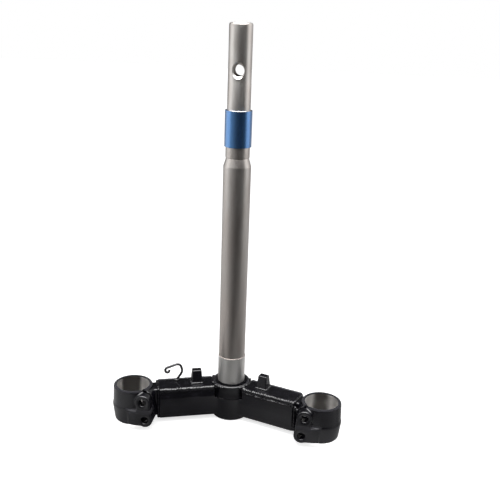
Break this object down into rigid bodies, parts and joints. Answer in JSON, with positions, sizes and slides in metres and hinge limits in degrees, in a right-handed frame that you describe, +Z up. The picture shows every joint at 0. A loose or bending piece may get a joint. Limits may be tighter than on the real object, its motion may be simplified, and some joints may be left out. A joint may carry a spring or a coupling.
{
  "type": "motorcycle triple clamp",
  "caption": "Lower fork bridge with a tubular steering stem, a V of boxed arms, split fork clamps, steering stop lugs and a wire cable hook.",
  "frame": {"origin": "on the steering stem's axis, level with the tops of the fork clamps, on the ground seat for the lower bearing", "axes": "+Z up the stem, -Y to the front of the machine, +X to the rider's left"},
  "size_m": [0.262, 0.0835, 0.4435],
  "materials": {
    "bare_steel": "bare drawn steel tube with a thin oil film, brownish grey",
    "black_paint": "gloss black dip paint on steel",
    "blue_plastic": "translucent glossy blue transport sleeve"
  },
  "bodies": {
    "root": {"steering_stem": "bare_steel", "thread_sleeve": "blue_plastic", "head_boss": "black_paint", "arm_shell": "black_paint", "cover_plate_left": "black_paint", "cover_plate_right": "black_paint", "fork_clamp_left": "black_paint", "fork_clamp_right": "black_paint", "stop_lug_left": "black_paint", "stop_lug_right": "black_paint", "cable_hook": "black_paint", "front_seam_weld_left": "black_paint", "front_seam_weld_right": "black_paint", "rear_seam_weld_left": "black_paint", "rear_seam_weld_right": "black_paint", "boss_weld_left": "black_paint", "boss_weld_right": "black_paint", "clamp_weld_left": "black_paint", "clamp_weld_right": "black_paint", "lug_weld_left": "black_paint", "lug_weld_right": "black_paint", "hook_weld": "black_paint"}
  },
  "joints": []
}
